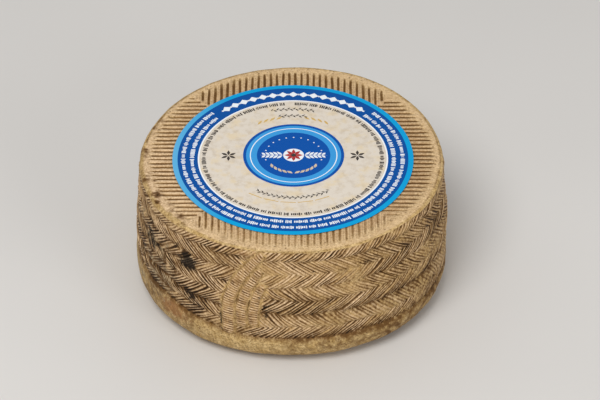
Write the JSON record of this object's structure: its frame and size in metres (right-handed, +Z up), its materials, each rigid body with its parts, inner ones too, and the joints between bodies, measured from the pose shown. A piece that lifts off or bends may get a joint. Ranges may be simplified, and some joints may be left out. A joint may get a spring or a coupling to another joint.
{
  "type": "semi-cured cheese wheel",
  "caption": "Round wheel of semi-cured cheese with a plaited-band print round its side, ridged faces and a round paper label on top.",
  "frame": {"origin": "middle of the flat underside, on the surface that the wheel stands on", "axes": "+Z up through the wheel; -Y is the front that the picture shows; +X is to the right of the front"},
  "size_m": [0.1892, 0.1892, 0.0847],
  "materials": {
    "rind": "natural cheese rind: uneven tan, yellower at the rims, brown in the grooves, slightly waxy",
    "label": "printed paper with a soft gloss: blue rings round a cream field"
  },
  "bodies": {
    "root": {"cheese_wheel": "rind", "paper_label": "label"}
  },
  "joints": []
}
